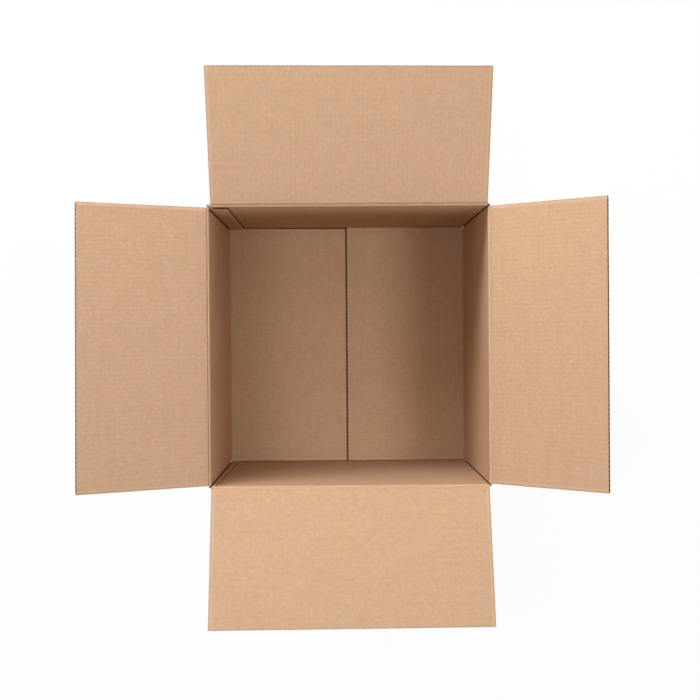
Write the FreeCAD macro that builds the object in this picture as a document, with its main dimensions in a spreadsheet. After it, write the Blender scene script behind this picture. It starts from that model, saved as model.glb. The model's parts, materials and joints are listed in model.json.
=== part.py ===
import FreeCAD, Part
import math
import os
import re
import Sketcher

# Open corrugated shipping box: one folded sheet with its four top flaps standing open.
# X runs along the front and back walls, Y from the front wall to the back wall, Z up.
# The origin is the centre of the underside.
# The side walls (left and right) carry the minor flaps, which close first. The front and
# back walls carry the major flaps, which close over them, at the top and at the bottom.

SIZES = [
    ("inner_length", 400.0, "inside, left wall to right wall"),
    ("inner_width", 400.0, "inside, front wall to back wall"),
    ("inner_height", 400.0, "inside, floor to the closed minor flaps"),
    ("board_thickness", 3.0, "single-wall board with B flutes"),
    ("liner_thickness", 0.35, "facing paper of the board"),
    ("medium_thickness", 0.3, "fluted paper between the facings"),
    ("flute_pitch", 6.35, "from one flute to the next"),
    ("layer_gap", 0.4, "air between a minor flap and the major flap over it"),
    ("slot_inset", 4.0, "a flap's side edge to the outer face of the wall beside it"),
    ("flap_meeting_gap", 2.0, "between the edges of two closed top flaps"),
    ("crease_clearance", 0.15, "crushed strip on each side of a top crease"),
    ("crease_shoulder", 1.0, "rounding where the crushed strip runs out"),
    ("shoulder_bend", 0.7, "share of the shoulder at which its rounding turns"),
    ("corner_crease", 1.1, "depth and half width of the crease inside an upright fold"),
    ("uncut_root", 6.0, "closed length of the flutes beside a crease"),
    ("cell_wide_share", 0.78, "wide side of an open flute end, as a share of the pitch"),
    ("cell_narrow_share", 0.18, "its narrow side, as a share of the pitch"),
    ("cell_margin", 0.5, "uncut board at a flap's sides, in flute pitches"),
    ("floor_slit", 3.0, "between the bottom flaps that form the floor"),
    ("floor_slit_offset", -1.0, "middle of that slit from the box's middle"),
    ("floor_side_gap", 1.0, "floor flap's side edge to the wall at its root"),
    ("floor_tip_gap", 2.6, "left floor flap to the back wall at the slit"),
    ("floor_touch_gap", 0.3, "right floor flap to the back wall at the slit"),
    ("bottom_seam", 1.5, "between the outer bottom flaps"),
    ("tab_width", 27.0, "glue tab on the back wall's inner face"),
    ("tab_taper", 4.0, "how far the tab's ends slope over its width"),
    ("tab_end_gap", 0.6, "tab's end to the closed flap above and to the floor below"),
    ("tab_cell_start", 0.6, "fold to the tab's first flute end, in flute pitches"),
    ("tab_cell_depth", 12.0, "depth of the flute ends in the tab's upper edge"),
    ("tape_width", 48.0, "packing tape along the bottom seam"),
    ("tape_rise", 50.0, "height of the tape's ends on the side walls"),
    ("tape_thickness", 0.1, "the tape lies pressed flush into the board"),
    ("back_flap_angle", 25.2, "back flap's rise above level"),
    ("front_flap_angle", 21.8, "front flap's rise above level"),
    ("left_flap_angle", 32.2, "left flap's rise above level"),
    ("right_flap_angle", 44.9, "right flap's rise above level"),
]

# Sizes that follow from the driving ones
DERIVED = [
    ("half_length", "=inner_length / 2"),
    ("half_width", "=inner_width / 2"),
    ("outer_half_length", "=half_length + board_thickness"),
    ("outer_half_width", "=half_width + board_thickness"),
    ("inner_flap_bottom", "=board_thickness + layer_gap"),
    ("floor_top", "=inner_flap_bottom + board_thickness"),
    ("minor_hinge_height", "=floor_top + inner_height + board_thickness"),
    ("major_hinge_height", "=minor_hinge_height + layer_gap + board_thickness"),
    ("crease_depth", "=crease_clearance + board_thickness"),
    ("minor_flap_width", "=2 * (outer_half_width - slot_inset)"),
    ("major_flap_width", "=2 * (outer_half_length - slot_inset)"),
    ("minor_flap_reach", "=outer_half_length - flap_meeting_gap / 2"),
    ("major_flap_reach", "=outer_half_width - flap_meeting_gap / 2"),
    ("tab_top", "=minor_hinge_height - board_thickness - tab_end_gap"),
    ("tab_bottom", "=floor_top + tab_end_gap"),
    ("tab_inner_face", "=half_width - board_thickness"),
    ("tape_face", "=outer_half_length - tape_thickness"),
    ("tape_foot", "=outer_half_length - slot_inset"),
    ("tape_fold_height", "=floor_top - board_thickness / 2"),
    ("shoulder_drop", "=crease_shoulder * shoulder_bend"),
    ("cell_height", "=board_thickness - 2 * liner_thickness - medium_thickness"),
    ("cell_wide", "=flute_pitch * cell_wide_share"),
    ("cell_narrow", "=flute_pitch * cell_narrow_share"),
]

doc = FreeCAD.newDocument("open_cardboard_box")
sheet = doc.addObject("Spreadsheet::Sheet", "Sizes")
for row, (alias, size, note) in enumerate(SIZES, start=1):
    sheet.set("A%d" % row, str(size))
    sheet.setAlias("A%d" % row, alias)
    sheet.set("B%d" % row, note)
for row, (alias, formula) in enumerate(DERIVED, start=len(SIZES) + 1):
    sheet.set("A%d" % row, formula)
    sheet.setAlias("A%d" % row, alias)
doc.recompute()

ALIASES = [entry[0] for entry in SIZES + DERIVED]


def bound(formula):
    """The formula with each size's alias pointing at the sheet."""
    return re.sub(
        "[a-z_]+", lambda word: "Sizes." + word[0] if word[0] in ALIASES else word[0], formula
    )


def number(formula):
    """The formula's present value."""
    return float(sheet.evalExpression(bound(formula)))


def new_sketch(body, name, plane, height=None):
    """A sketch on one of the body's origin planes, raised along its normal."""
    sketch = body.newObject("Sketcher::SketchObject", name)
    planes = {feature.Role: feature for feature in body.Origin.OriginFeatures}
    sketch.AttachmentSupport = [(planes[plane], "")]
    sketch.MapMode = "FlatFace"
    if height is not None:
        sketch.setExpression("AttachmentOffset.Base.z", bound(height))
    return sketch


def pin_point(sketch, curve, end, across, up):
    """Ties one end of a sketch curve to its two coordinates."""
    for kind, formula in (("DistanceX", across), ("DistanceY", up)):
        tie = sketch.addConstraint(Sketcher.Constraint(kind, -1, 1, curve, end, number(formula)))
        sketch.setExpression("Constraints[%d]" % tie, bound(formula))


def add_outline(sketch, corners):
    """A closed outline of straight lines, each corner tied to the sheet."""
    first = sketch.GeometryCount
    places = [FreeCAD.Vector(number(across), number(up), 0) for across, up in corners]
    count = len(corners)
    for index in range(count):
        sketch.addGeometry(Part.LineSegment(places[index], places[(index + 1) % count]))
    for index in range(count):
        following = first + (index + 1) % count
        sketch.addConstraint(Sketcher.Constraint("Coincident", first + index, 2, following, 1))
    for index, (across, up) in enumerate(corners):
        pin_point(sketch, first + index, 1, across, up)


def add_fold(sketch, centre, side_across, side_up):
    """A quarter disc of the board's thickness about the inner edge of a fold."""
    across, up = centre
    end_across = "%s + %s * board_thickness" % (across, side_across)
    end_up = "%s + %s * board_thickness" % (up, side_up)
    middle = FreeCAD.Vector(number(across), number(up), 0)
    side = FreeCAD.Vector(number(end_across), number(up), 0)
    top = FreeCAD.Vector(number(across), number(end_up), 0)
    side_angle = 0 if int(side_across) > 0 else math.pi
    top_angle = math.pi / 2 * int(side_up)
    side_first = int(side_across) == int(side_up)
    start, stop = (side_angle, top_angle) if side_first else (top_angle, side_angle)
    circle = Part.Circle(middle, FreeCAD.Vector(0, 0, 1), number("board_thickness"))
    to_side = sketch.addGeometry(Part.LineSegment(middle, side))
    arc = sketch.addGeometry(Part.ArcOfCircle(circle, start, stop))
    to_top = sketch.addGeometry(Part.LineSegment(top, middle))
    side_end, top_end = (1, 2) if side_first else (2, 1)
    for first, first_end, second, second_end in (
        (to_side, 2, arc, side_end),
        (arc, top_end, to_top, 1),
        (to_top, 2, to_side, 1),
    ):
        sketch.addConstraint(
            Sketcher.Constraint("Coincident", first, first_end, second, second_end)
        )
    pin_point(sketch, to_side, 1, across, up)
    pin_point(sketch, to_side, 2, end_across, up)
    pin_point(sketch, to_top, 1, across, end_up)
    tie = sketch.addConstraint(Sketcher.Constraint("Radius", arc, number("board_thickness")))
    sketch.setExpression("Constraints[%d]" % tie, bound("board_thickness"))


def add_pad(body, name, sketch, length, centred=False):
    """Thickens a sketch, on both sides of its plane where centred."""
    pad = body.newObject("PartDesign::Pad", name)
    pad.Profile = sketch
    pad.setExpression("Length", bound(length))
    if centred:
        pad.SideType = "Symmetric"
    doc.recompute()
    return pad


def add_pocket(body, name, sketch, length, centred=False):
    """Cuts a sketch into the body and makes sure that it took material away."""
    before = body.Shape.Volume
    pocket = body.newObject("PartDesign::Pocket", name)
    pocket.Profile = sketch
    pocket.setExpression("Length", bound(length))
    if centred:
        pocket.SideType = "Symmetric"
    else:
        pocket.Reversed = True
    doc.recompute()
    if not body.Shape.Volume < before:
        raise RuntimeError(name + " cut nothing")
    return pocket


def new_body(label):
    body = doc.addObject("PartDesign::Body", label)
    body.Label = label
    return body


def wall_section(side, half, foot, hinge):
    """An upright wall, its top mitred down to the inside under the crease."""
    inner = "%s * %s" % (side, half)
    outer = "%s * (%s + board_thickness)" % (side, half)
    shoulder = "%s * (%s + shoulder_drop)" % (side, half)
    return [
        (inner, foot),
        (outer, foot),
        (outer, "%s - crease_clearance" % hinge),
        (shoulder, "%s - crease_depth + shoulder_drop" % hinge),
        (inner, "%s - crease_depth - crease_shoulder" % hinge),
    ]


def make_box_body():
    """Walls, glue tab and bottom flaps: the part of the sheet that stays put."""
    body = new_body("box_body")

    # Side walls, from the floor's fold up to the minor creases. The left one ends at the tab.
    right = new_sketch(body, "right_wall_section", "XZ_Plane")
    add_outline(right, wall_section("1", "half_length", "floor_top", "minor_hinge_height"))
    add_pad(body, "right_wall", right, "inner_width", centred=True)
    left = new_sketch(body, "left_wall_section", "XZ_Plane", "board_thickness / 2")
    add_outline(left, wall_section("-1", "half_length", "floor_top", "minor_hinge_height"))
    add_pad(body, "left_wall", left, "inner_width - board_thickness", centred=True)

    # Front and back walls. The back one runs on over the tab's fold to the outer left face.
    front = new_sketch(body, "front_wall_section", "YZ_Plane")
    add_outline(front, wall_section("-1", "half_width", "board_thickness", "major_hinge_height"))
    add_pad(body, "front_wall", front, "inner_length", centred=True)
    back = new_sketch(body, "back_wall_section", "YZ_Plane", "-1 * board_thickness / 2")
    add_outline(back, wall_section("1", "half_width", "board_thickness", "major_hinge_height"))
    add_pad(body, "back_wall", back, "inner_length + board_thickness", centred=True)

    # Upright folds, and the tab's own fold inside the back wall
    folds = new_sketch(body, "upright_fold_plan", "XY_Plane", "inner_flap_bottom")
    for side_across, side_up in (("1", "1"), ("1", "-1"), ("-1", "-1")):
        corner = ("%s * half_length" % side_across, "%s * half_width" % side_up)
        add_fold(folds, corner, side_across, side_up)
    add_pad(
        body, "upright_folds", folds, "minor_hinge_height - crease_clearance - inner_flap_bottom"
    )
    tab_fold = new_sketch(body, "tab_fold_plan", "XY_Plane", "floor_top")
    add_fold(tab_fold, ("-1 * half_length", "tab_inner_face"), "-1", "1")
    add_pad(body, "tab_fold", tab_fold, "tab_top - floor_top - tab_taper / 2")

    # Glue tab, its two ends sloping towards its free edge
    tab = new_sketch(body, "tab_outline", "XZ_Plane", "-1 * half_width + board_thickness / 2")
    add_outline(
        tab,
        [
            ("-1 * half_length", "tab_bottom"),
            ("-1 * half_length + tab_width", "tab_bottom + tab_taper"),
            ("-1 * half_length + tab_width", "tab_top - tab_taper"),
            ("-1 * half_length", "tab_top"),
        ],
    )
    add_pad(body, "glue_tab", tab, "board_thickness", centred=True)

    # Inner bottom flaps: the floor, with its slit across the middle
    floor = new_sketch(body, "floor_flap_outline", "XY_Plane", "inner_flap_bottom")
    slit_left = "floor_slit_offset - floor_slit / 2"
    slit_right = "floor_slit_offset + floor_slit / 2"
    front_edge = "-1 * half_width + floor_side_gap"
    add_outline(
        floor,
        [
            ("-1 * half_length", front_edge),
            (slit_left, front_edge),
            (slit_left, "half_width - floor_tip_gap"),
            ("-1 * half_length", "half_width - floor_side_gap"),
        ],
    )
    add_outline(
        floor,
        [
            ("half_length", front_edge),
            ("half_length", "half_width - floor_side_gap"),
            (slit_right, "half_width - floor_touch_gap"),
            (slit_right, front_edge),
        ],
    )
    add_pad(body, "floor_flaps", floor, "board_thickness")
    floor_folds = new_sketch(body, "floor_fold_section", "XZ_Plane")
    add_fold(floor_folds, ("half_length", "floor_top"), "1", "-1")
    add_fold(floor_folds, ("-1 * half_length", "floor_top"), "-1", "-1")
    add_pad(
        body, "floor_folds", floor_folds, "2 * (half_width - floor_side_gap)", centred=True
    )

    # Outer bottom flaps, under the floor, meeting at the taped seam
    bottom = new_sketch(body, "bottom_flap_outline", "XY_Plane")
    half_flap = "major_flap_width / 2"
    for side in ("-1", "1"):
        root = "%s * half_width" % side
        edge = "%s * bottom_seam / 2" % side
        add_outline(
            bottom,
            [
                ("-1 * " + half_flap, root),
                (half_flap, root),
                (half_flap, edge),
                ("-1 * " + half_flap, edge),
            ],
        )
    add_pad(body, "bottom_flaps", bottom, "board_thickness")
    bottom_folds = new_sketch(body, "bottom_fold_section", "YZ_Plane")
    add_fold(bottom_folds, ("half_width", "board_thickness"), "1", "-1")
    add_fold(bottom_folds, ("-1 * half_width", "board_thickness"), "-1", "-1")
    add_pad(body, "bottom_folds", bottom_folds, "major_flap_width", centred=True)

    # The creases inside the upright folds
    creases = new_sketch(body, "corner_crease_plan", "XY_Plane", "floor_top")
    for side_across, side_up, inner in (
        ("1", "1", "half_width"),
        ("1", "-1", "half_width"),
        ("-1", "-1", "half_width"),
        ("-1", "1", "tab_inner_face"),
    ):
        across = "%s * half_length" % side_across
        up = "%s * %s" % (side_up, inner)
        add_outline(
            creases,
            [
                (across, "%s - %s * corner_crease" % (up, side_up)),
                (
                    "%s + %s * corner_crease" % (across, side_across),
                    "%s + %s * corner_crease" % (up, side_up),
                ),
                ("%s - %s * corner_crease" % (across, side_across), up),
            ],
        )
    add_pocket(body, "corner_creases", creases, "major_hinge_height")

    # The flutes' open ends in the tab's upper edge
    pitch_count = "floor(tab_width / flute_pitch)"
    cells = new_sketch(body, "tab_cell_ends", "XY_Plane", "tab_top - tab_cell_depth")
    for index in range(int(number(pitch_count))):
        middle = "-1 * half_length + flute_pitch * (%d + tab_cell_start)" % index
        add_cells(cells, middle, "tab_inner_face")
    add_pocket(body, "tab_cells", cells, "tab_cell_depth + tab_taper")

    # The strip that the tape is pressed into
    strip = new_sketch(body, "tape_strip_section", "XZ_Plane")
    add_outline(strip, tape_section())
    add_pocket(body, "tape_strip", strip, "tape_width", centred=True)
    return body


def add_cells(sketch, middle, inner_face):
    """One pitch of open flute ends: a cell under the wave's crest and one over its trough."""
    low = "%s + liner_thickness" % inner_face
    high = "%s + board_thickness - liner_thickness" % inner_face
    for shift, wide_level, narrow_level in (
        ("-0.25 * flute_pitch", low, low + " + cell_height"),
        ("0.25 * flute_pitch", high, high + " - cell_height"),
    ):
        centre = "%s + %s" % (middle, shift)
        add_outline(
            sketch,
            [
                (centre + " - cell_wide / 2", wide_level),
                (centre + " + cell_wide / 2", wide_level),
                (centre + " + cell_narrow / 2", narrow_level),
                (centre + " - cell_narrow / 2", narrow_level),
            ],
        )


def tape_section():
    """The tape's length: up one side wall, across the underside and up the other."""
    outside = [
        ("-1 * outer_half_length", "tape_rise"),
        ("-1 * outer_half_length", "tape_fold_height"),
        ("-1 * tape_foot - tape_thickness", "0"),
        ("tape_foot + tape_thickness", "0"),
        ("outer_half_length", "tape_fold_height"),
        ("outer_half_length", "tape_rise"),
    ]
    inside = [
        ("tape_face", "tape_rise"),
        ("tape_face", "tape_fold_height"),
        ("tape_foot", "tape_thickness"),
        ("-1 * tape_foot", "tape_thickness"),
        ("-1 * tape_face", "tape_fold_height"),
        ("-1 * tape_face", "tape_rise"),
    ]
    return outside + inside


def make_tape():
    """Packing tape that holds the bottom shut."""
    body = new_body("bottom_tape")
    section = new_sketch(body, "tape_section", "XZ_Plane")
    add_outline(section, tape_section())
    add_pad(body, "tape", section, "tape_width", centred=True)
    return body


def make_flap(label, turn, kind, across, away, angle):
    """A top flap, drawn level with its crease along X, then raised and turned to its wall."""
    width = kind + "_flap_width"
    reach = kind + "_flap_reach"
    hinge = kind + "_hinge_height"
    body = new_body(label)
    section = new_sketch(body, label + "_section", "YZ_Plane")
    add_outline(
        section,
        [
            ("crease_clearance", "0"),
            (reach, "0"),
            (reach, "board_thickness"),
            ("crease_depth + crease_shoulder", "board_thickness"),
            ("crease_depth - shoulder_drop", "board_thickness - shoulder_drop"),
        ],
    )
    add_pad(body, label + "_board", section, width, centred=True)

    # Flute ends along the cut edge, running back almost to the crease
    count = "floor(%s / flute_pitch - cell_margin)" % width
    cells = new_sketch(body, label + "_cell_ends", "XZ_Plane", "-1 * " + reach)
    add_cells(cells, "-1 * (%s - 1) / 2 * flute_pitch" % count, "0")
    pocket = add_pocket(body, label + "_cells", cells, reach + " - crease_depth - uncut_root")
    flutes = body.newObject("PartDesign::LinearPattern", label + "_flutes")
    flutes.Originals = [pocket]
    flutes.Direction = (cells, ["H_Axis"])
    flutes.setExpression("Occurrences", bound(count))
    flutes.setExpression("Length", bound("(%s - 1) * flute_pitch" % count))
    body.Tip = flutes

    place = "create(<<placement>>; create(<<vector>>; %s; %s; %s); " % (
        bound(across),
        bound(away),
        bound(hinge),
    )
    swing = "create(<<rotation>>; create(<<vector>>; 0; 0; 1); %d) * " % turn
    raised = "create(<<rotation>>; create(<<vector>>; 1; 0; 0); %s))" % bound(angle)
    body.setExpression("Placement", place + swing + raised)
    return body


# Each flap: its label, its turn about Z from the back wall, its kind, its crease's place
# and its rise above level
FLAPS = [
    ("back_flap", 0, "major", "0", "outer_half_width", "back_flap_angle"),
    ("front_flap", 180, "major", "0", "-1 * outer_half_width", "front_flap_angle"),
    ("left_flap", 90, "minor", "-1 * outer_half_length", "0", "left_flap_angle"),
    ("right_flap", -90, "minor", "outer_half_length", "0", "right_flap_angle"),
]

pieces = [make_box_body(), make_tape()] + [make_flap(*flap) for flap in FLAPS]
doc.recompute()

for item in doc.Objects:
    if "Invalid" in item.State or "Error" in item.State:
        raise RuntimeError("%s failed: %s" % (item.Label, item.State))
for piece in pieces:
    if piece.Shape.isNull() or not piece.Shape.isValid():
        raise RuntimeError(piece.Label + " has no valid shape")

os.makedirs("parts", exist_ok=True)
for piece in pieces:
    piece.Shape.exportStep(os.path.join("parts", piece.Label + ".step"))
    box = piece.Shape.BoundBox
    print(
        "%-12s solids %d volume %.0f X %.1f..%.1f Y %.1f..%.1f Z %.1f..%.1f"
        % (
            piece.Label,
            len(piece.Shape.Solids),
            piece.Shape.Volume,
            box.XMin,
            box.XMax,
            box.YMin,
            box.YMax,
            box.ZMin,
            box.ZMax,
        )
    )
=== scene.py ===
import json
import math
from typing import NamedTuple

import bmesh
import bpy
from bpy.props import FloatProperty, FloatVectorProperty, PointerProperty
from mathutils import Matrix, Vector, noise
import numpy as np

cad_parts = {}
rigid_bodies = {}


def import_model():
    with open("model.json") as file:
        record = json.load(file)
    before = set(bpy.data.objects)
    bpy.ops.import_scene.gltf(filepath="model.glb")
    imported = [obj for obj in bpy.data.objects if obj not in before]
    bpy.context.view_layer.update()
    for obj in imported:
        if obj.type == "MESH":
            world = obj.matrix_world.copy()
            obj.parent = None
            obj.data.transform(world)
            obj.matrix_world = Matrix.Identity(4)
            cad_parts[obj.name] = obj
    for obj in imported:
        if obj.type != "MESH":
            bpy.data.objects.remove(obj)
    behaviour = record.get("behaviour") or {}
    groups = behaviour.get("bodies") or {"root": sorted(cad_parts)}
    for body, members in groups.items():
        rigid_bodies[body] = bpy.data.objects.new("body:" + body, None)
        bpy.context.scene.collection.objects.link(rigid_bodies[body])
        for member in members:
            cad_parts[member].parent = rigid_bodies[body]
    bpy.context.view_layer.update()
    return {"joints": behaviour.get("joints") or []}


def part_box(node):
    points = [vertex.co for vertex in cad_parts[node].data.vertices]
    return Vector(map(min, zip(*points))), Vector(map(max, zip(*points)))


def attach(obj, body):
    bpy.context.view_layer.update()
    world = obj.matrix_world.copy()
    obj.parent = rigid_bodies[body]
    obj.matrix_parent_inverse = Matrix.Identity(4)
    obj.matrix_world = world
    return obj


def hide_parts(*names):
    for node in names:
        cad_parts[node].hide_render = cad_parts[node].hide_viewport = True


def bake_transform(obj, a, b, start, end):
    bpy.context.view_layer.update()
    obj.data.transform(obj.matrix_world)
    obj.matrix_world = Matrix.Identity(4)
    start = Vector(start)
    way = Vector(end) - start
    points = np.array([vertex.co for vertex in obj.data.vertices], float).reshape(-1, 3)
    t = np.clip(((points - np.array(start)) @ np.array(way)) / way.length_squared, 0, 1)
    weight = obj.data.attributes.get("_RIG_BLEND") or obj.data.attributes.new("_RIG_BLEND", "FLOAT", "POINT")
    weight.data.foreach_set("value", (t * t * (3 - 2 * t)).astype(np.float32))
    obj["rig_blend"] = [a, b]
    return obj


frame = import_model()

bl_info = {
    "name": "Open Corrugated Box",
    "version": (1, 0, 0),
    "blender": (4, 5, 0),
    "location": "View3D > Sidebar > Carton",
    "description": "Builds an open shipping box of corrugated board with four top flaps",
    "category": "Add Mesh",
}

MM = 0.001
BODY_LOW, BODY_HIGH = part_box("box_body")
TAPE_LOW, TAPE_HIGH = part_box("bottom_tape")
HINGES = {joint["child"]: joint for joint in frame["joints"]}


def hinge_place(flap):
    return Vector(HINGES[flap]["pos_m"])


def rest_rise(flap):
    """The flap's angle above level at rest: its travel ends at closed flat, half a turn."""
    return math.radians(180 - HINGES[flap]["range_deg"][1])


class BoardSizes(bpy.types.PropertyGroup):
    """The corrugated board and how it is creased and cut"""

    thickness: FloatProperty(
        name="Board thickness",
        description="From one facing's outer surface to the other's",
        default=3 * MM,
        unit="LENGTH",
    )
    liner: FloatProperty(
        name="Liner",
        description="Thickness of each facing paper",
        default=0.35 * MM,
        unit="LENGTH",
    )
    medium: FloatProperty(
        name="Medium",
        description="Thickness of the fluted paper",
        default=0.3 * MM,
        unit="LENGTH",
    )
    pitch: FloatProperty(
        name="Flute pitch",
        description="From one flute to the next",
        default=6.35 * MM,
        unit="LENGTH",
    )
    rib: FloatProperty(
        name="Rib depth",
        description="How far a facing sinks between the flutes that carry it",
        default=0.09 * MM,
        unit="LENGTH",
    )
    side_inset: FloatProperty(
        name="Flap inset",
        description="A flap's side edge to the inner face of the wall beside it",
        default=1 * MM,
        unit="LENGTH",
    )
    crushed_edge: FloatProperty(
        name="Crushed edge",
        description="Width of the strip that the slotting knife presses thin",
        default=3.4 * MM,
        unit="LENGTH",
    )
    crush: FloatProperty(
        name="Crush",
        description="Share of the thickness that is lost at such an edge",
        default=0.45,
        subtype="FACTOR",
    )
    corner_crease: FloatProperty(
        name="Corner crease",
        description="Half width of the crease inside an upright fold",
        default=1.5 * MM,
        unit="LENGTH",
    )
    corner_depth: FloatProperty(
        name="Corner depth",
        description="How deep the crease cuts into an upright fold",
        default=2.35 * MM,
        unit="LENGTH",
    )
    layer_gap: FloatProperty(
        name="Layer gap",
        description="Air between the two layers of bottom flaps",
        default=0.4 * MM,
        unit="LENGTH",
    )
    slit: FloatProperty(
        name="Floor slit",
        description="Between the floor's two flaps; their ragged ends add half a millimetre",
        default=2.5 * MM,
        unit="LENGTH",
    )
    slit_offset: FloatProperty(
        name="Slit offset",
        description="Middle of the slit from the middle of the box",
        default=-1 * MM,
        unit="LENGTH",
    )
    floor_gap: FloatProperty(
        name="Floor gap",
        description="Left floor flap to the back wall at the slit",
        default=2.6 * MM,
        unit="LENGTH",
    )
    bottom_seam: FloatProperty(
        name="Bottom seam",
        description="Between the outer bottom flaps",
        default=1.5 * MM,
        unit="LENGTH",
    )
    tab_width: FloatProperty(
        name="Glue tab",
        description="Width of the tab that is glued to the back wall",
        default=27 * MM,
        unit="LENGTH",
    )


class KraftColours(bpy.types.PropertyGroup):
    """Colours of the paper and the tape"""

    paper: FloatVectorProperty(
        name="Paper",
        description="Kraft paper in plain light",
        subtype="COLOR",
        default=(0.575, 0.372, 0.232),
    )
    pale: FloatVectorProperty(
        name="Pale paper",
        description="Lighter clouds and rubbed edges",
        subtype="COLOR",
        default=(0.730, 0.520, 0.355),
    )
    deep: FloatVectorProperty(
        name="Deep paper",
        description="Darker fibres, flecks and cut edges",
        subtype="COLOR",
        default=(0.330, 0.185, 0.098),
    )
    pink: FloatVectorProperty(
        name="Blush",
        description="Faint warmer patches in the paper",
        subtype="COLOR",
        default=(0.560, 0.478, 0.470),
    )
    tape: FloatVectorProperty(
        name="Tape",
        description="Brown packing tape over the paper",
        subtype="COLOR",
        default=(0.430, 0.240, 0.105),
    )


class StudioSettings(bpy.types.PropertyGroup):
    """Camera and light"""

    camera_place: FloatVectorProperty(
        name="Camera",
        description="Where the camera stands",
        subtype="TRANSLATION",
        default=(-0.0185, 0.0144, 2.4669),
    )
    camera_turn: FloatVectorProperty(
        name="Camera turn",
        description="The camera's small turns from straight down",
        subtype="EULER",
        default=tuple(math.radians(angle) for angle in (-0.561, -0.538, -0.434)),
    )
    lens: FloatProperty(
        name="Lens",
        description="Focal length in millimetres on a 36 mm sensor",
        default=73.87,
    )
    sky: FloatProperty(
        name="Sky",
        description="Strength of the even light from all around",
        default=0.0,
    )


def board():
    return bpy.context.scene.carton_board


def colours():
    return bpy.context.scene.carton_colours


def ease(low, high, value):
    """0 below low, 1 above high, smooth between."""
    share = min(max((value - low) / (high - low), 0.0), 1.0)
    return share * share * (3 - 2 * share)


def mix(first, second, share):
    return first * (1 - share) + second * share


def fade_out(low, high, value):
    """1 below low, 0 above high, smooth between."""
    return 1 - ease(low, high, value)


def bell(value, centre, width):
    """1 at the centre, falling smoothly to 0 on both sides of it."""
    return math.exp(-(((value - centre) / width) ** 2))


def inner_half():
    """Half the distance between the side walls' inner faces, and between the other two."""
    thickness = board().thickness
    return BODY_HIGH.x - thickness, BODY_HIGH.y - thickness


def floor_level():
    """The floor's upper face: two layers of board and the air between them."""
    return 2 * board().thickness + board().layer_gap


def speckle(across, along, scale, seed):
    """Smooth noise between -1 and 1 over the board, with scale bumps in a metre."""
    return noise.noise(Vector((across * scale, along * scale, seed)))


# Sheets of board

SHARP_ANGLE = math.radians(38)


def new_mesh():
    """A mesh under construction, with the board's own coordinates on every point."""
    bm = bmesh.new()
    bm.verts.layers.float_vector.new("board")
    # Per point: pale for rubbed paper and painted highlights, dark for cut edges and painted shade
    bm.verts.layers.float.new("wear_and_shade")
    return bm


def add_sheet(bm, columns, rows, surface):
    """Adds a closed sheet made from a grid that is extruded once.

    surface(column, row, layer) gives the point's place, its board coordinates, and its wear with painted
    shade and painted highlights.
    """
    place_layer = bm.verts.layers.float_vector["board"]
    wear_and_shade_layer = bm.verts.layers.float["wear_and_shade"]
    made = bmesh.ops.create_grid(bm, x_segments=columns, y_segments=rows, size=0.5)
    lower = made["verts"]
    faces = {face for vert in lower for face in vert.link_faces}
    grown = bmesh.ops.extrude_face_region(bm, geom=list(faces))
    upper = [item for item in grown["geom"] if isinstance(item, bmesh.types.BMVert)]
    for layer, verts in enumerate((lower, upper)):
        for vert in verts:
            column = round((vert.co.x + 0.5) * columns)
            row = round((vert.co.y + 0.5) * rows)
            place, pattern, wear_and_shade = surface(column, row, layer)
            vert.co = place
            vert[place_layer] = pattern
            vert[wear_and_shade_layer] = wear_and_shade


def finish_mesh(bm, name, body, replaced=None, material="Kraft board"):
    """Turns the mesh into a piece of the box that rides on a body."""
    bmesh.ops.recalc_face_normals(bm, faces=bm.faces)
    for face in bm.faces:
        face.smooth = True
    for edge in bm.edges:
        edge.smooth = edge.calc_face_angle(0.0) < SHARP_ANGLE
    mesh = bpy.data.meshes.new(name)
    bm.to_mesh(mesh)
    bm.free()
    mesh.materials.append(bpy.data.materials[material])
    piece = bpy.data.objects.new(name, mesh)
    bpy.context.scene.collection.objects.link(piece)
    if body:
        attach(piece, body)
    if replaced:
        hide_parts(replaced)
    return piece


def wave(across):
    """The flute's height at this place across the board, from -1 to 1."""
    return math.cos(2 * math.pi * across / board().pitch)


def spread(length, fine, step):
    """Places along a length: close together at both ends and evenly spaced between."""
    ends = [share for share in fine if share < length / 2]
    inside = length - 2 * ends[-1]
    count = max(2, round(inside / step))
    middle = [ends[-1] + inside * index / count for index in range(1, count)]
    return ends + middle + [length - share for share in reversed(ends)]


# Mesh steps: fine ones beside a cut edge, steps to a flute, and rows from a panel's root to its
# tip, as shares of its length or as distances from the tip
EDGE_STEPS = [0.0, 0.5 * MM, 1.1 * MM, 1.9 * MM, 2.8 * MM, 3.6 * MM]
FACING_STEPS = 8
FLUTE_STEPS = 12
ROOT_ROWS = [0.0, 0.006, 0.014, 0.024, 0.040, 0.065]
MIDDLE_SHARE = 0.915
MIDDLE_ROWS = 9
TIP_ROW = 0.985
TIP_STEPS = [1.1 * MM, 0.3 * MM, 0.0]
FLUTE_ROWS = [0.03, 0.3, 0.7, TIP_ROW, 0.998]
# Rows past this share belong to the cut edge
TIP_SHARE = 0.999

# How a panel is pressed: shares of its thickness lost, and over which distance
PINCH = 0.75
PINCH_START = 0.4
SCORE = 0.22
SCORE_START = 2.5 * MM
SCORE_END = 9 * MM
TIP_PRESS = 0.10
TIP_PRESS_REACH = 2.2 * MM

# How its cut edges stray from straight, and how its face bows
TOOTH = 0.22 * MM
TORN = 0.14 * MM
CORNER_LOSS = 0.9 * MM
CORNER_REACH = 2.4 * MM
FRAY = 0.10 * MM
FRAY_REACH = 0.2 * MM
PANEL_BOW = 0.35 * MM
PANEL_BOW_START = 50 * MM
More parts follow.
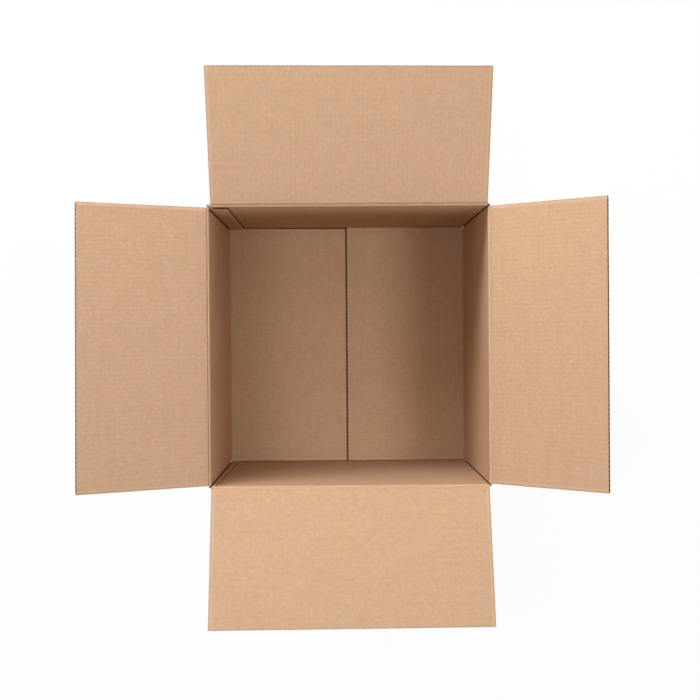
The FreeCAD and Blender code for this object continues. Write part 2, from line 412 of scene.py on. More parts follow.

# Its wear with painted light, from -1 for the darkest painted shade to 1 for the palest, and where that lies
PINCHED_PALE = 0.6
PALE_START = 0.6
WEAR_UNEVEN = 0.6
CUT_START = 0.3 * MM
CUT_END = 1.3 * MM
# Painted highlight along the line where the knife's crushed strip ends
STRIP_PALE = 0.45
STRIP_WIDTH = 1.0 * MM
# Painted shade in the open flutes along a cut edge, changing from cell to cell
CELL_MEAN = 0.65
CELL_SWING = 0.55
# Painted shade along a panel's root fold: a narrow dark line and a soft fall over 45 mm
ROOT_DARK_REACH = 2.6 * MM
SOFT_DARK = 0.2
SOFT_DARK_REACH = 45 * MM
INSIDE_PALE = 0.4
INSIDE_PALE_END = 0.8
# Painted shade inside the flutes, on the liners' inner faces and on the fluting paper, over the paper's own
# darker tone there
INSIDE_DARK = -0.9
FLUTE_DARK = -0.8
RIB_START = 2 * MM
RIB_END = 8 * MM


class Panel:
    """A fluted panel: two facings and the wave between them, open at its far cut edge.

    ribs is how clearly the flutes show through, pinched a panel whose first side is creased
    from the inside, and dim how dark the painted shade on its hidden inner face is. crush is the
    share of the thickness lost at its sides; side_dark is how dark its side edges are, tip_dark
    how dark the painted shade in the open flutes of its cut edge is, and root_dark how dark the
    painted shade along its root is.
    skew is how much further the cut edge reaches at its two ends, because real boxes are folded
    a little out of square, and shift is how far its two sides stand off their true places.
    """

    def __init__(self, width, length, place, seed, root=0.0, mitre=False, ribs=1.0):
        self.width = width
        self.length = length
        self.place = place
        self.seed = seed
        self.root = root
        self.mitre = mitre
        self.ribs = ribs
        self.pinched = 0.0
        self.dim = 0.0
        self.crush = board().crush
        self.side_dark = 0.22
        self.tip_dark = 0.35
        self.root_dark = 0.0
        self.skew = (0.0, 0.0)
        self.shift = (0.0, 0.0)

    def squeeze(self, across, along):
        """What is left of the thickness beside the knife's edges and the crease."""
        sizes = board()
        side = min(across, self.width - across)
        knife = 1 - self.crush * fade_out(0, sizes.crushed_edge, side)
        if self.pinched and across < self.width / 2:
            knife = 1 - PINCH * fade_out(PINCH_START * self.pinched, self.pinched, across)
        scored = 1 - SCORE * fade_out(SCORE_START, SCORE_END, along)
        tip = 1 - TIP_PRESS * fade_out(0, TIP_PRESS_REACH, self.length - along)
        return knife * scored * tip

    def point(self, across, share, height, room):
        """A point of the panel: height is its level in the board, measured from the middle."""
        sizes = board()
        half = sizes.thickness / 2
        level = height + half
        if self.pinched:
            level -= (1 - room) * half
        start = self.root + (level if self.mitre else 0.0)
        ragged = 0.0
        if share > TIP_SHARE:
            side = min(across, self.width - across)
            ragged = TOOTH * (self.ribs * wave(across) - 1)
            ragged -= CORNER_LOSS * fade_out(0, CORNER_REACH, side)
            ragged += TORN * speckle(across, 0, 900, self.seed + 7)
        end = self.length + mix(*self.skew, across / self.width)
        along = mix(start, end + ragged, share)
        frayed = FRAY * speckle(0, along, 500, self.seed + 3)
        if across < FRAY_REACH:
            across = across + frayed
        if across > self.width - FRAY_REACH:
            across = across - frayed
        across += mix(*self.shift, across / self.width)
        bow = PANEL_BOW * speckle(across, along, 9, self.seed) * ease(0, PANEL_BOW_START, along)
        return self.place(across, along, level + bow)

    def wear_and_shade(self, across, along):
        """Dark at the very edge, a painted highlight where the knife's crushed strip ends, painted shade in
        the open flutes at the tip and along the root.
        """
        side = min(across, self.width - across)
        if self.pinched and across < self.width / 2:
            return PINCHED_PALE * fade_out(PALE_START * self.pinched, self.pinched, across)
        uneven = 1 + WEAR_UNEVEN * speckle(across, along, 180, self.seed)
        cut = -self.side_dark * fade_out(CUT_START, CUT_END, side)
        strip = STRIP_PALE * bell(side, board().crushed_edge, STRIP_WIDTH)
        cells = CELL_MEAN + CELL_SWING * wave(across)
        tip = -self.tip_dark * cells * fade_out(0.0, CUT_END, self.length - along)
        root = -self.root_dark * fade_out(0.0, ROOT_DARK_REACH, along)
        soft = -SOFT_DARK * self.root_dark * fade_out(0.0, SOFT_DARK_REACH, along)
        return (cut + strip + tip + root) * uneven + soft

    def add(self, bm):
        sizes = board()
        half = sizes.thickness / 2
        columns = spread(self.width, EDGE_STEPS, sizes.pitch / FACING_STEPS)
        rows = list(ROOT_ROWS)
        for index in range(1, MIDDLE_ROWS):
            rows.append(ROOT_ROWS[-1] + MIDDLE_SHARE * index / MIDDLE_ROWS)
        rows += [TIP_ROW] + [1 - step / self.length for step in TIP_STEPS]

        def facing(sign):
            def surface(column, row, layer):
                across = columns[column]
                share = rows[row]
                along = self.length * share
                room = self.squeeze(across, along)
                resting = 0.5 * (1 - sign * wave(across))
                fade = ease(RIB_START, RIB_END, along)
                outer = half * room - sizes.rib * self.ribs * resting * fade
                inner = outer - sizes.liner
                level = sign * (outer if layer else inner)
                place = self.point(across, share, level, room)
                # The inner faces get painted shade, except where a pinched tab is pale
                inside = INSIDE_PALE if across < INSIDE_PALE_END * self.pinched else INSIDE_DARK
                wear_and_shade = self.wear_and_shade(across, along) if layer else inside
                if layer and sign > 0 and self.dim:
                    wear_and_shade = -self.dim
                return place, (across, along, sign * self.ribs), wear_and_shade

            return surface

        for sign in (1, -1):
            add_sheet(bm, len(columns) - 1, len(rows) - 1, facing(sign))

        fine = spread(self.width, EDGE_STEPS[:3], sizes.pitch / FLUTE_STEPS)

        def fluting(column, row, layer):
            across = fine[column]
            share = FLUTE_ROWS[row]
            along = self.length * share
            room = self.squeeze(across, along)
            swing = half * room - sizes.liner - sizes.medium / 2
            side = sizes.medium / 2 if layer else -sizes.medium / 2
            place = self.point(across, share, wave(across) * swing + side, room)
            # Painted shade on the fluting paper, over its own darker tone
            return place, (across, along, 0.0), FLUTE_DARK

        add_sheet(bm, len(fine) - 1, len(FLUTE_ROWS) - 1, fluting)


# Top flaps


class FlapLook(NamedTuple):
    """Where one top flap stands, and how it differs from the others.

    turn is its angle round the box in degrees, and seed starts its noise. ribs is how clearly
    its flutes show, and tip_dark how dark the painted shade in the open flutes of its cut edge
    is. groove is the radius in millimetres of the groove along its crease: a small one is a deep
    groove with darker painted shade. skew and shift are the millimetres by which its cut edge and
    its sides are out of square, at their two ends.
    """

    turn: float
    seed: float
    ribs: float
    tip_dark: float
    groove: float
    skew: tuple = (0.0, 0.0)
    shift: tuple = (0.0, 0.0)


FLAPS = {
    "back_flap": FlapLook(0.0, 11.0, 0.7, 0.4, 0.6, skew=(0.0, -2.8), shift=(1.9, 0.0)),
    "front_flap": FlapLook(180.0, 23.0, 0.25, 0.15, 1.7, skew=(-0.9, 0.9)),
    "left_flap": FlapLook(90.0, 37.0, 0.8, 0.9, 0.5, skew=(0.9, -2.2)),
    "right_flap": FlapLook(-90.0, 53.0, 0.85, 0.9, 1.5),
}
MAJOR_FLAPS = ("back_flap", "front_flap")
FLAP_ROOT = 0.15 * MM


def flap_width(flap):
    side = BODY_HIGH.x if flap in MAJOR_FLAPS else BODY_HIGH.y
    return 2 * (side - board().thickness - board().side_inset)


def flap_matrix(flap, rise):
    """From level flap coordinates (X along the crease, Y outwards, Z up) to the box."""
    turn = Matrix.Rotation(math.radians(FLAPS[flap].turn), 4, "Z")
    return Matrix.Translation(hinge_place(flap)) @ turn @ Matrix.Rotation(rise, 4, "X")


def make_flap(flap):
    low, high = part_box(flap)
    hinge = hinge_place(flap)
    reach = max(abs(low.x - hinge.x), abs(high.x - hinge.x))
    if flap in MAJOR_FLAPS:
        reach = max(abs(low.y - hinge.y), abs(high.y - hinge.y))
    rise = rest_rise(flap)
    length = reach / math.cos(rise)
    width = flap_width(flap)
    matrix = flap_matrix(flap, rise)

    def place(across, along, level):
        return matrix @ Vector((across - width / 2, along, level))

    bm = new_mesh()
    look = FLAPS[flap]
    panel = Panel(width, length, place, look.seed, FLAP_ROOT, mitre=True, ribs=look.ribs)
    panel.tip_dark = look.tip_dark
    panel.skew = tuple(end * MM for end in look.skew)
    panel.shift = tuple(end * MM for end in look.shift)
    panel.add(bm)
    return finish_mesh(bm, flap + "_board", flap, flap)


class MESH_OT_carton_flaps(bpy.types.Operator):
    """Makes the four top flaps, each with two facings and the fluted paper between them"""

    bl_idname = "mesh.carton_flaps"
    bl_label = "Top flaps"

    def execute(self, context):
        for flap in FLAPS:
            make_flap(flap)
        return {"FINISHED"}


# Creases that carry the top flaps


# The crease's section. On its inner side, from the flap's cut face to the wall's, it falls to
# the groove, rises to the crown and runs into the wall, each between two shares of that side.
GROOVE_FALL = (0.0, 0.22)
CROWN_RISE = (0.34, 0.54)
WALL_RUN = (0.72, 1.0)
CROWN_RADIUS = 2.7
OUTER_RADIUS = 1.3 * MM
OUTER_HOLLOW = 0.42 * MM
# How far it reaches into the board at its four corners, as shares of a square cut's diagonal
FLAP_FACE_REACH = 0.9
WALL_BACK_REACH = 0.7
FLAP_BACK_REACH = 0.6
# Mesh steps round its inner side, its root in the wall and its outer side, and along it
INNER_STEPS = 18
BACK_STEPS = 3
OUTER_STEPS = 9
CREASE_STEPS = 120
# Painted highlight on the crown, over its rubbed paper, and painted shade in the groove: the most, the angle
# in degrees where it lies, and how wide it is there
CROWN_PALE = (1.1, 172, 24)
GROOVE_DARK = (0.25, 112, 26)
CREASE_UNEVEN = 0.5
# Millimetres by which the section swells and shrinks along the crease
BROAD_SHADE = 0.16
FINE_SHADE = 0.08
# Half the width of the strip over which it bends with the flap
BLEND_REACH = 1.5 * MM


class Fold:
    """The angles about a flap's hinge line where the creased paper changes its shape.

    Level and outwards is 0, up is a quarter turn. flap_face and wall_face are the two cut faces
    that the board runs into on the inside of the fold, and its outer side goes from under_wall
    to under_flap.
    """

    def __init__(self, flap):
        self.flap_face = rest_rise(flap) + math.radians(45)
        self.wall_face = math.radians(225)
        self.under_wall = math.radians(270)
        self.under_flap = self.flap_face - math.radians(45) + 2 * math.pi

    def angles(self):
        """Round the crease once, from the flap's cut face on."""
        parts = (
            (self.flap_face, self.wall_face, INNER_STEPS, range(INNER_STEPS + 1)),
            (self.wall_face, self.under_wall, BACK_STEPS, range(1, BACK_STEPS)),
            (self.under_wall, self.under_flap, OUTER_STEPS, range(OUTER_STEPS + 1)),
            (self.under_flap, self.flap_face + 2 * math.pi, 2, (1,)),
        )
        made = []
        for first, last, steps, chosen in parts:
            made += [mix(first, last, index / steps) for index in chosen]
        return made

    def radius(self, angle, hollow, shade):
        """How far the creased paper reaches from the hinge line at an angle about it.

        hollow is the radius of the groove in millimetres, and shade what is added unevenly.
        """
        corner = board().thickness * math.sqrt(2)
        groove = (hollow + shade) * MM
        crown = (CROWN_RADIUS + shade) * MM
        if self.flap_face <= angle <= self.wall_face:
            share = (angle - self.flap_face) / (self.wall_face - self.flap_face)
            if share < CROWN_RISE[0]:
                return mix(corner * FLAP_FACE_REACH, groove, ease(*GROOVE_FALL, share))
            crest = mix(groove, crown, ease(*CROWN_RISE, share))
            return mix(crest, corner, ease(*WALL_RUN, share))
        if self.wall_face < angle < self.under_wall:
            share = (angle - self.wall_face) / (self.under_wall - self.wall_face)
            return mix(corner * WALL_BACK_REACH, OUTER_RADIUS, share)
        if self.under_wall <= angle <= self.under_flap:
            share = (angle - self.under_wall) / (self.under_flap - self.under_wall)
            return mix(OUTER_RADIUS, OUTER_HOLLOW, math.sin(math.pi * share))
        return corner * FLAP_BACK_REACH


def make_crease(flap):
    """The crushed strip that joins a wall to its flap and bends with it."""
    fold = Fold(flap)
    width = flap_width(flap)
    level = flap_matrix(flap, 0.0)
    angles = fold.angles()
    bm = new_mesh()
    place_layer = bm.verts.layers.float_vector["board"]
    wear_and_shade_layer = bm.verts.layers.float["wear_and_shade"]
    ring = bmesh.ops.create_circle(bm, cap_ends=True, segments=len(angles), radius=1)["verts"]
    ring.sort(key=lambda vert: math.atan2(vert.co.y, vert.co.x) % (2 * math.pi))
    look = FLAPS[flap]
    seed = look.seed
    crown_most, crown_angle, crown_width = CROWN_PALE
    groove_most, groove_angle, groove_width = GROOVE_DARK
    groove_most = groove_most / (1 + look.groove ** 4)

    def shape(verts, across):
        shade = BROAD_SHADE * speckle(across, 0.0, 60, seed + 5)
        shade += FINE_SHADE * speckle(across, 1.0, 400, seed)
        for vert, angle in zip(verts, angles):
            turn = angle % (2 * math.pi)
            radius = fold.radius(angle, look.groove, shade)
            beside = across + mix(*look.shift, across / width + 0.5) * MM
            local = Vector((beside, math.cos(turn) * radius, math.sin(turn) * radius))
            vert.co = level @ local
            turned = math.degrees(angle)
            # Painted highlight on the crown, over its rubbed paper, and painted shade in the groove
            crown = crown_most * bell(turned, crown_angle, crown_width)
            dark = groove_most * bell(turned, groove_angle, groove_width)
            uneven = 1 + CREASE_UNEVEN * speckle(across, radius, 220, seed)
            vert[place_layer] = (across + width / 2, radius, 0.0)
            vert[wear_and_shade_layer] = (crown - dark) * uneven

    shape(ring, -width / 2)
    face = ring[0].link_faces[0]
    for step in range(1, CREASE_STEPS + 1):
        outer = bmesh.ops.extrude_face_region(bm, geom=[face])["geom"]
        face = next(item for item in outer if isinstance(item, bmesh.types.BMFace))
        moved = {tuple(round(value, 7) for value in vert.co): vert for vert in face.verts}
        ring = [moved[tuple(round(value, 7) for value in vert.co)] for vert in ring]
        shape(ring, width * (step / CREASE_STEPS - 0.5))
    piece = finish_mesh(bm, flap + "_crease", None)
    bisector = (fold.flap_face + fold.wall_face) / 2 - math.radians(90)
    arm = level.to_3x3() @ Vector((0, math.cos(bisector), math.sin(bisector)))
    hinge = hinge_place(flap)
    parent = HINGES[flap]["parent"]
    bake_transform(piece, parent, flap, hinge - arm * BLEND_REACH, hinge + arm * BLEND_REACH)
    return piece


class MESH_OT_carton_creases(bpy.types.Operator):
    """Makes the creased strips between the walls and the top flaps"""

    bl_idname = "mesh.carton_creases"
    bl_label = "Creases"

    def execute(self, context):
        for flap in FLAPS:
            make_crease(flap)
        return {"FINISHED"}


# Walls, glue tab and bottom flaps


class Wall(NamedTuple):
    """One upright panel of the folded sheet, seen from above, with its inner face on the left."""

    name: str
    start: Vector
    heading: float
    length: float
    foot: float
    hinge: float


def wall_list():
    sizes = board()
    half_x, half_y = inner_half()
    major_foot = sizes.thickness
    minor_foot = floor_level()
    major = hinge_place("back_flap").z
    minor = hinge_place("left_flap").z
    tab_y = half_y - sizes.thickness
    back_length = 2 * half_x + sizes.thickness
    return [
        Wall("left", Vector((-half_x, tab_y)), -90, tab_y + half_y, minor_foot, minor),
        Wall("front", Vector((-half_x, -half_y)), 0, 2 * half_x, major_foot, major),
        Wall("right", Vector((half_x, -half_y)), 90, 2 * half_y, minor_foot, minor),
        Wall("back", Vector((half_x, half_y)), 180, back_length, major_foot, major),
    ]


class Column(NamedTuple):
    """One upright line of the walls.

    It has an inner point, an outward direction, a place across the sheet, a distance from the
    nearest fold, how deep the fold's crease cuts into it, its ends and its wall's name.
    """

    point: Vector
    outward: Vector
    across: float
    distance: float
    dip: float
    foot: float
    hinge: float
    name: str


def direction(angle):
    return Vector((math.cos(angle), math.sin(angle)))


FOLD_STEPS = 8
CORNER_STEPS = [0.0, 0.4 * MM, 0.8 * MM, 1.2 * MM, 1.6 * MM, 2.4 * MM, 3.6 * MM]
SHOULDER = 0.62


def wall_columns():
    """Every upright line from the tab's fold round to the back wall's end."""
    sizes = board()
    walls = wall_list()
    columns = []
    across = 0.0
    corner_foot = sizes.thickness + sizes.layer_gap
    shoulder = SHOULDER * sizes.corner_depth
    for index, wall in enumerate(walls):
        heading = math.radians(wall.heading)
        forward = direction(heading)
        outward = heading - math.radians(90)
        before = walls[index - 1].hinge if index else wall.hinge - sizes.thickness
        fold_hinge = min(before, wall.hinge) if index else before
        for step in range(FOLD_STEPS):
            share = step / FOLD_STEPS
            angle = outward - math.radians(90) * (1 - share)
            dip = mix(shoulder, sizes.corner_depth, math.sin(math.pi * share))
            facing = direction(angle)
            columns.append(
                Column(wall.start, facing, across, 0.0, dip, corner_foot, fold_hinge, "fold")
            )
        for distance in spread(wall.length, CORNER_STEPS, sizes.pitch / FACING_STEPS):
            last = index == len(walls) - 1
            side = distance if last else min(distance, wall.length - distance)
            dip = shoulder * max(0.0, 1 - side / sizes.corner_crease)
            point = wall.start + forward * distance
            place = across + distance
            facing = direction(outward)
            columns.append(
                Column(point, facing, place, side, dip, wall.foot, wall.hinge, wall.name)
            )
        across += wall.length
    return columns


TAPE_PRESS = 0.12 * MM


def tape_press(y, z):
    """The tape sinks its own thickness into the board that it is stuck to."""
    inside = TAPE_LOW.y < y < TAPE_HIGH.y and z < TAPE_HIGH.z
    return TAPE_PRESS if inside else 0.0


# The stray crease: its distance from the corner at the floor and at the rim, how far the paper
# stands proud beside it, and its groove, line of painted shade and painted highlight on its
# shoulder, each with its distance from the line and its width
STRAY_AT_FLOOR = 12.0 * MM
STRAY_AT_RIM = 6.0 * MM
STRAY_PROUD = 1.0 * MM
STRAY_START = 1.6 * MM
STRAY_STEP = 1.3 * MM
STRAY_GROOVE = (0.35 * MM, 1.4 * MM, 0.7 * MM)
STRAY_DARK = (0.65, 0.9 * MM, 0.8 * MM)
STRAY_PALE = (0.3, -1.8 * MM, 1.6 * MM)
STRAY_RIM_START = 0.3 * MM
STRAY_RIM_END = 3 * MM


def false_crease(name, place, z):
    """A stray crease on the front wall that leaves the left corner on its way down.

    Gives how far the paper between it and the corner stands proud, and its painted shade less its painted
    highlight.
    """
    if name != "front":
        return 0.0, 0.0
    floor = floor_level()
    rim = hinge_place("front_flap").z - board().thickness
    share = min(max((z - floor) / (rim - floor), 0), 1)
    corner = BODY_LOW.x + board().thickness
    line = mix(STRAY_AT_FLOOR, STRAY_AT_RIM, share)
    distance = place.x - corner
    raised = ease(STRAY_START, line, distance) * fade_out(line, line + STRAY_STEP, distance)
    sunk, dark, pale = (
        most * bell(distance - line, centre, width)
        for most, centre, width in (STRAY_GROOVE, STRAY_DARK, STRAY_PALE)
    )
    proud = STRAY_PROUD * raised - sunk
    return proud * ease(STRAY_RIM_START, STRAY_RIM_END, rim - z), dark - pale


# Rows up the walls, as shares of their height
WALL_FOOT_ROWS = [0.0, 0.008, 0.02]
WALL_MIDDLE_SHARE = 0.955
WALL_MIDDLE_ROWS = 12
WALL_TOP_ROWS = [0.985, 0.992, 1.0]
# How far the walls and the folds between them stop below the hinge line
WALL_DROP = 0.15 * MM
FOLD_DROP = 0.3 * MM
FOLD_INNER_DROP = 1.6 * MM
# The distances over which the flutes begin to show, upwards and beside a fold
WALL_RIB_RISE = (1 * MM, 9 * MM)
WALL_RIB_SIDE = (1 * MM, 6 * MM)
WALL_BOW = 0.8 * MM
WALL_BOW_REACH = 90 * MM
# The paper bulges beside a fold's crease, and the crease opens on its way up from the floor
BULGE = 0.28 * MM
BULGE_PLACE = 2.8 * MM
BULGE_WIDTH = 1.0 * MM
CREASE_CLOSED = 0.12
CREASE_OPENS = (3 * MM, 14 * MM)
# Pale wear of the outer corners, painted shade in the creases inside them, and the flutes'
# strength for the inner and the outer face
CORNER_PALE = 0.4
CORNER_PALE_REACH = 2.4 * MM
CORNER_DARK = 0.85
WALL_RIBS = (0.8, -0.8)


def add_walls(bm):
    sizes = board()
    columns = wall_columns()
    rows = list(WALL_FOOT_ROWS)
    for index in range(1, WALL_MIDDLE_ROWS + 1):
        rows.append(WALL_FOOT_ROWS[-1] + WALL_MIDDLE_SHARE * index / WALL_MIDDLE_ROWS)
    rows += WALL_TOP_ROWS

    def surface(number, row, layer):
        column = columns[number]
        share = rows[row]
        inner_top = column.hinge - sizes.thickness - WALL_DROP
        outer_top = column.hinge - WALL_DROP
        top = outer_top if layer else inner_top
        if column.name == "fold":
            top = column.hinge - (FOLD_DROP if layer else FOLD_INNER_DROP)
        z = mix(column.foot, top, share)
        away = min(z - column.foot, column.hinge - z)
        fade = ease(*WALL_RIB_RISE, away) * ease(*WALL_RIB_SIDE, column.distance)
        height = wave(column.across)
        bow = 0.0
        if column.name != "fold":
            reach = ease(0, WALL_BOW_REACH, column.distance) * ease(0, WALL_BOW_REACH, away)
            bow = WALL_BOW * speckle(column.across, z, 5, 71.0) * reach
        if layer:
            shift = sizes.thickness - sizes.rib * 0.5 * (1 + height) * fade
            if column.name in ("left", "right"):
                shift -= tape_press(column.point.y, z)
        else:
            bulge = BULGE * bell(column.distance, BULGE_PLACE, BULGE_WIDTH)
            if column.name == "fold":
                bulge = 0.0
            opened = mix(CREASE_CLOSED, 1.0, ease(*CREASE_OPENS, z - column.foot))
            proud, stray = false_crease(column.name, column.point, z)
            shift = column.dip * opened + sizes.rib * 0.4 * (1 - height) * fade - bulge - proud
        flat = column.point + column.outward * (shift + bow)
        if layer:
            worn_and_painted_light = CORNER_PALE * fade_out(0, CORNER_PALE_REACH, column.distance)
        else:
            # Painted shade in the corner creases and on the stray crease's line, painted highlight on its
            # shoulder
            worn_and_painted_light = -CORNER_DARK * column.dip / sizes.corner_depth - stray
        return Vector((flat.x, flat.y, z)), (column.across, z, WALL_RIBS[layer]), worn_and_painted_light

    add_sheet(bm, len(columns) - 1, len(rows) - 1, surface)


TAB_END_GAP = 0.6 * MM
TAB_TAPER = 4 * MM
TAB_PINCHED = 6.2 * MM


def add_tab(bm):
    """The glue tab: a fluted strip on the back wall's inner face, open at its upper edge."""
    sizes = board()
    back = BODY_HIGH.y - sizes.thickness
    left = BODY_LOW.x + sizes.thickness
    top = hinge_place("left_flap").z - sizes.thickness - TAB_END_GAP
    foot = floor_level() + TAB_END_GAP

    def place(across, along, level):
        slope = TAB_TAPER * (across / sizes.tab_width)
        z = mix(foot + slope, top - slope, along / (top - foot))
        return Vector((left + across, back - level, z))

    tab = Panel(sizes.tab_width, top - foot, place, 91.0, ribs=0.6)
    tab.pinched = TAB_PINCHED
    tab.crush = 0.12
    tab.side_dark = 0.9
    tab.tip_dark = 0.9
    tab.add(bm)


BOTTOM_FLUTE_STEPS = 4
BOTTOM_FOLD_STEPS = 7
BOTTOM_FOLD_RADIUS = 0.25 * MM
BOTTOM_FOLD_DENT = 0.12 * MM
BOTTOM_FOLD_PALE = 0.45


def add_bottom_fold(bm, width, place):
    """The rounded fold between a wall and its bottom flap."""
    sizes = board()
    columns = spread(width, EDGE_STEPS, sizes.pitch / BOTTOM_FLUTE_STEPS)

    def surface(column, row, layer):
        across = columns[column]
        angle = math.radians(90) * row / BOTTOM_FOLD_STEPS
        radius = sizes.thickness if layer else BOTTOM_FOLD_RADIUS
        dent = BOTTOM_FOLD_DENT * abs(speckle(across, row, 120, 5.0)) if layer else 0.0
        return (
            place(across, angle, radius - dent),
            (across, sizes.thickness * angle, 1.0 - 2 * layer),
            BOTTOM_FOLD_PALE * math.sin(angle * 2) if layer else 0.0,
        )

    add_sheet(bm, len(columns) - 1, BOTTOM_FOLD_STEPS, surface)


RIGHT_FLOOR_GAP = 0.3 * MM


def add_floor(bm):
    """The two inner bottom flaps with their folds at the side walls."""
    sizes = board()
    half_x, half_y = inner_half()
    level_low = sizes.thickness + sizes.layer_gap
    front = -half_y + sizes.side_inset
    root_back = half_y - sizes.side_inset
    width = root_back - front
    # Each half's side, gap at the back wall by the slit, seed and darkness of its edges
    left_half = (-1, sizes.floor_gap, 61.0, 0.12)
    right_half = (1, RIGHT_FLOOR_GAP, 67.0, -0.35)
    for side, back_gap, seed, side_dark in (left_half, right_half):
        tip = sizes.slit_offset + side * sizes.slit / 2
        length = half_x - side * tip

        def place(across, along, level, side=side, back_gap=back_gap, length=length):
            back = mix(root_back, half_y - back_gap, along / length)
            y = mix(front, back, across / width)
            return Vector((side * (half_x - along), y, level_low + level))

        flap = Panel(width, length, place, seed, ribs=0.6)
        # Painted shade along the fold at the side wall
        flap.root_dark = 0.28
        flap.tip_dark = -0.1
        flap.side_dark = side_dark
        flap.add(bm)

        def fold(across, angle, radius, side=side):
            return Vector(
                (
                    side * (half_x + radius * math.cos(angle)),
                    front + across,
                    level_low + sizes.thickness - radius * math.sin(angle),
                )
            )

        add_bottom_fold(bm, width, fold)


def add_outer_bottom(bm):
    """The two outer bottom flaps under the floor, pressed in where the tape holds them."""
    sizes = board()
    half_x, half_y = inner_half()
    width = 2 * (half_x - sizes.side_inset)
    length = half_y - sizes.bottom_seam / 2
    for side, seed in ((-1, 73.0), (1, 79.0)):

        def place(across, along, level, side=side):
            y = side * (half_y - along)
            press = tape_press(y, 0.0) * (1 - level / sizes.thickness)
            return Vector((across - width / 2, y, max(level, 0.0) + press))

        flap = Panel(width, length, place, seed)
        # Painted shade on the hidden inner face, seen only through the slit and the gap
        flap.dim = 0.98
        flap.add(bm)

        def fold(across, angle, radius, side=side):
            return Vector(
                (
                    across - width / 2,
                    side * (half_y + radius * math.cos(angle)),
                    sizes.thickness - radius * math.sin(angle),
                )
            )

        add_bottom_fold(bm, width, fold)


class MESH_OT_carton_body(bpy.types.Operator):
    """Makes the folded sheet that stays put: walls, glue tab, floor and outer bottom flaps"""

    bl_idname = "mesh.carton_body"
    bl_label = "Walls and bottom"

    def execute(self, context):
        bm = new_mesh()
        add_walls(bm)
        add_tab(bm)
        finish_mesh(bm, "walls_board", "box", "box_body")
        bm = new_mesh()
        add_floor(bm)
        finish_mesh(bm, "floor_board", "box", "box_body")
        bm = new_mesh()
        add_outer_bottom(bm)
        finish_mesh(bm, "outer_bottom_board", "box", "box_body")
        return {"FINISHED"}


# Tape

TAPE_THICKNESS = 0.09 * MM
TAPE_STAND_OFF = 0.005 * MM
TAPE_TOOTH = 1.1 * MM
TAPE_TURN = 1.5
# Mesh steps up a side, over an edge, along the bottom and the same on the way up, and across
TAPE_STEPS = [10, 4, 80, 4, 10]
TAPE_ACROSS_STEPS = 48


def make_tape():
    """Tape along the bottom seam and up both side walls, with toothed ends."""
    sizes = board()
    half = BODY_HIGH.x
    foot = half - sizes.thickness - sizes.side_inset
    turn = TAPE_TURN * sizes.thickness + sizes.layer_gap
    top = TAPE_HIGH.z
    corners = [
        Vector((-half, top)),
        Vector((-half, turn)),
        Vector((-foot, 0)),
        Vector((foot, 0)),
        Vector((half, turn)),
        Vector((half, top)),
    ]
    path = [corners[0]]
    for index, count in enumerate(TAPE_STEPS):
        for step in range(1, count + 1):
            path.append(corners[index].lerp(corners[index + 1], step / count))
    width = TAPE_HIGH.y - TAPE_LOW.y

    def surface(column, row, layer):
        here = path[column]
        ahead = path[min(column + 1, len(path) - 1)]
        behind = path[max(column - 1, 0)]
        along = (ahead - behind).normalized()
        inward = Vector((-along.y, along.x))
        y = TAPE_LOW.y + width * row / TAPE_ACROSS_STEPS
        tooth = 0.0
        if column in (0, len(path) - 1):
            tooth = TAPE_TOOTH * (row % 2)
        spot = here + inward * (TAPE_STAND_OFF + layer * TAPE_THICKNESS)
        return Vector((spot.x, y, spot.y - tooth)), (y, spot.x, -1.0), 0.0

    bm = new_mesh()
    add_sheet(bm, len(path) - 1, TAPE_ACROSS_STEPS, surface)
    finish_mesh(bm, "bottom_tape_strip", "box", "bottom_tape", "Packing tape")


class MESH_OT_carton_tape(bpy.types.Operator):
    """Makes the packing tape under the box"""

    bl_idname = "mesh.carton_tape"
    bl_label = "Bottom tape"

    def execute(self, context):
        make_tape()
        return {"FINISHED"}


# Materials


